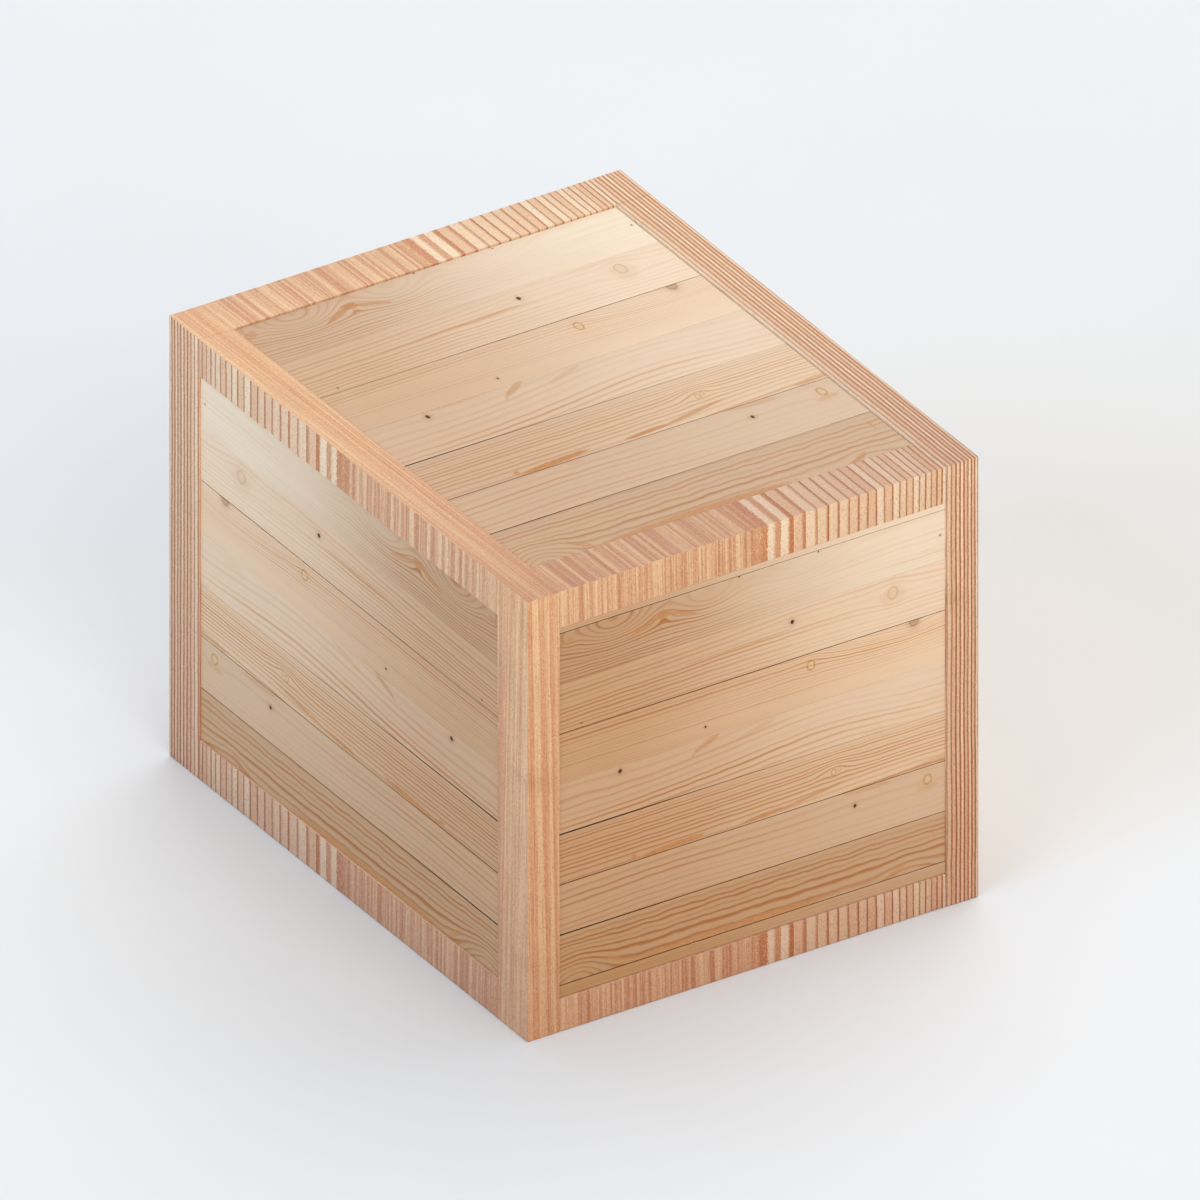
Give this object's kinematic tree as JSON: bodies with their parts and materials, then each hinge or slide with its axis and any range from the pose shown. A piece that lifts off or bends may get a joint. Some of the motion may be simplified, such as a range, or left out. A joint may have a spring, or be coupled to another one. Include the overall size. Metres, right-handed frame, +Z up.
{
  "type": "shipping crate",
  "caption": "Wooden shipping crate: posts and rails frame horizontal tongue-and-groove boards, and a battened board lid drops into the top frame.",
  "frame": {"origin": "centre of the underside, on the ground", "axes": "+Z up, +Y towards the back along the crate's longest side, +X to the right; the front faces -Y"},
  "size_m": [0.534, 0.668, 0.511],
  "materials": {
    "frame_timber": "planed reddish softwood with dark upright growth rings",
    "wall_board": "planed pale pine with brown grain lines and small knots",
    "lid_board": "planed pale pine with brown grain lines and small knots",
    "floor_board": "rough-planed pine",
    "batten_timber": "sawn pine",
    "screw_steel": "zinc-plated screw heads"
  },
  "bodies": {
    "crate": {"corner_post_front_left": "frame_timber", "corner_post_front_right": "frame_timber", "corner_post_back_left": "frame_timber", "corner_post_back_right": "frame_timber", "bottom_rail_front": "frame_timber", "bottom_rail_right": "frame_timber", "bottom_rail_back": "frame_timber", "bottom_rail_left": "frame_timber", "top_rail_front": "frame_timber", "top_rail_right": "frame_timber", "top_rail_back": "frame_timber", "top_rail_left": "frame_timber", "front_strip_lower": "wall_board", "front_board_1": "wall_board", "front_board_2": "wall_board", "front_board_3": "wall_board", "front_board_4": "wall_board", "front_board_5": "wall_board", "front_board_6": "wall_board", "front_board_7": "wall_board", "front_strip_upper": "wall_board", "right_board_1": "wall_board", "right_board_2": "wall_board", "right_board_3": "wall_board", "right_board_4": "wall_board", "right_board_5": "wall_board", "right_board_6": "wall_board", "right_board_7": "wall_board", "back_board_1": "wall_board", "back_board_2": "wall_board", "back_board_3": "wall_board", "back_board_4": "wall_board", "back_board_5": "wall_board", "back_board_6": "wall_board", "back_board_7": "wall_board", "left_board_1": "wall_board", "left_board_2": "wall_board", "left_board_3": "wall_board", "left_board_4": "wall_board", "left_board_5": "wall_board", "left_board_6": "wall_board", "left_board_7": "wall_board", "floor_board_1": "floor_board", "floor_board_2": "floor_board", "floor_board_3": "floor_board", "floor_board_4": "floor_board", "floor_bearer": "batten_timber", "lid_ledge_front": "batten_timber", "lid_ledge_back": "batten_timber", "lid_ledge_left": "batten_timber", "lid_ledge_right": "batten_timber"},
    "lid": {"lid_board_1": "lid_board", "lid_board_2": "lid_board", "lid_board_3": "lid_board", "lid_board_4": "lid_board", "lid_board_5": "lid_board", "lid_board_6": "lid_board", "lid_board_7": "lid_board", "lid_batten_left": "batten_timber", "lid_batten_right": "batten_timber"}
  },
  "joints": [
    {"name": "lid_lift", "type": "slide", "parent": "crate", "child": "lid", "axis": [0, 0, 1], "range_m": [0, 0.3]}
  ]
}
